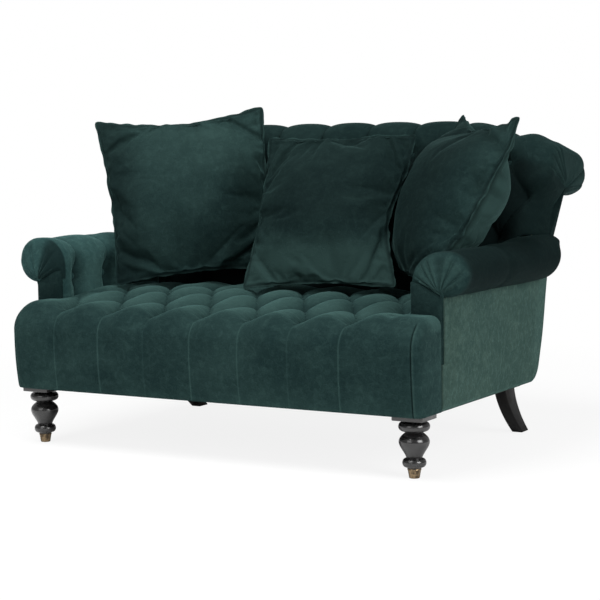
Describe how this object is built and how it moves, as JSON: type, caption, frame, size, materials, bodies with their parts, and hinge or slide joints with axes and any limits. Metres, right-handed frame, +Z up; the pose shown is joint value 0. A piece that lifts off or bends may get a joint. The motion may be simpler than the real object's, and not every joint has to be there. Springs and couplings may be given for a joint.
{
  "type": "velvet sofa",
  "caption": "Deep-buttoned velvet sofa with rolled arms and a rolled back, turned front legs in brass cups, swept rear legs and loose scatter cushions.",
  "frame": {"origin": "on the floor, under the middle of the sofa", "axes": "+X along the sofa's length to the right as seen from the front, +Y towards the back, +Z up"},
  "size_m": [1.4636, 1.1084, 0.9788],
  "materials": {
    "velvet": "deep bottle green velvet, brushed nap",
    "cushion_velvet": "deep bottle green velvet, lightly creased",
    "beech": "planed, unfinished",
    "jute": "coarse weave",
    "black_wood": "ebonised, satin lacquer",
    "brass": "aged, satin",
    "steel": "drawn wire and plain bolts",
    "dust_cloth": "matt black cloth"
  },
  "bodies": {
    "sofa": {"back_crest_rail": "beech", "back_pad": "velvet", "back_stay_rail": "beech", "back_webbing": "jute", "dust_cover": "dust_cloth", "front_left_block": "beech", "front_left_bolt": "steel", "front_left_cup": "brass", "front_left_leg": "black_wood", "front_right_block": "beech", "front_right_bolt": "steel", "front_right_cup": "brass", "front_right_leg": "black_wood", "front_seat_rail": "beech", "left_arm_facing": "velvet", "left_arm_pad": "velvet", "left_arm_post": "beech", "left_arm_rail": "beech", "left_back_post": "beech", "left_outside_arm": "velvet", "left_seat_rail": "beech", "outside_back": "velvet", "rear_left_block": "beech", "rear_left_bolt": "steel", "rear_left_leg": "black_wood", "rear_right_block": "beech", "rear_right_bolt": "steel", "rear_right_leg": "black_wood", "rear_seat_rail": "beech", "right_arm_facing": "velvet", "right_arm_pad": "velvet", "right_arm_post": "beech", "right_arm_rail": "beech", "right_back_post": "beech", "right_outside_arm": "velvet", "right_seat_rail": "beech", "seat_pad": "velvet", "seat_spring_1": "steel", "seat_spring_2": "steel", "seat_spring_3": "steel", "seat_spring_4": "steel", "seat_spring_5": "steel", "seat_spring_6": "steel", "seat_webbing": "jute", "spring_canvas": "jute"},
    "left_cushion": {"left_cushion": "cushion_velvet"},
    "middle_cushion": {"middle_cushion": "cushion_velvet"},
    "right_cushion": {"right_cushion": "cushion_velvet"}
  },
  "joints": [
    {"name": "left_cushion_lift", "type": "slide", "parent": "sofa", "child": "left_cushion", "axis": [0, 0.2425, 0.9701], "range_m": [0, 0.22]},
    {"name": "middle_cushion_lift", "type": "slide", "parent": "sofa", "child": "middle_cushion", "axis": [-0.049, 0.1959, 0.9794], "range_m": [0, 0.22]},
    {"name": "right_cushion_lift", "type": "slide", "parent": "sofa", "child": "right_cushion", "axis": [0.1905, 0.2381, 0.9524], "range_m": [0, 0.22]}
  ]
}
